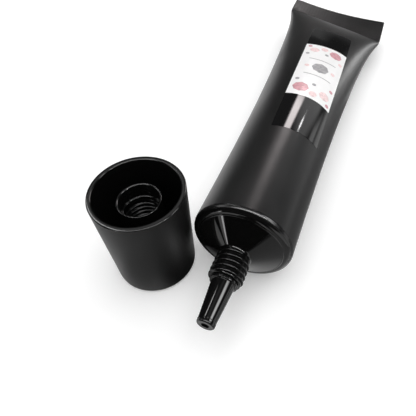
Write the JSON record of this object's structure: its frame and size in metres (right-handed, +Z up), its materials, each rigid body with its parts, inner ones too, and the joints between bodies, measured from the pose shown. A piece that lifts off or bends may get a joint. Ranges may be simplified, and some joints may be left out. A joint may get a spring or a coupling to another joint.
{
  "type": "glue tube",
  "caption": "Squeeze tube of adhesive lying on its side: crimped plastic sleeve, threaded shoulder with a push-in nozzle tip, a printed label, and its tapered screw cap standing beside it.",
  "frame": {"origin": "on the table, under the middle of the whole part's box", "axes": "+Z up, +Y along the tube from its nozzle to its crimped tail, +X to the tube's right, away from the cap"},
  "size_m": [0.041, 0.1158, 0.0209],
  "materials": {
    "sleeve_matte_black": "soft matte black, fine grain",
    "head_gloss_black": "polished black moulding",
    "nozzle_gloss_black": "polished black moulding",
    "label_print": "glossy printed film",
    "clear_adhesive": "clear gel",
    "cap_matte_black": "soft matte black, fine grain",
    "cap_gloss_black": "polished black moulding",
    "seal_foam": "pale closed-cell foam"
  },
  "bodies": {
    "tube": {"tube_sleeve": "sleeve_matte_black", "shoulder_neck": "head_gloss_black", "nozzle": "nozzle_gloss_black", "front_label": "label_print", "glue_fill": "clear_adhesive"},
    "cap_lifter": {"seal_pad": "seal_foam"},
    "cap": {"cap_shell": "cap_matte_black", "cap_core": "cap_gloss_black"}
  },
  "joints": [
    {"name": "cap_lift", "type": "slide", "parent": "tube", "child": "cap_lifter", "axis": [0, 0, 1], "range_m": [0, 0.025]},
    {"name": "cap_turn", "type": "hinge", "parent": "cap_lifter", "child": "cap", "pos_m": [-0.0118, -0.04371, 0], "axis": [0, 0, 1], "continuous": true}
  ]
}
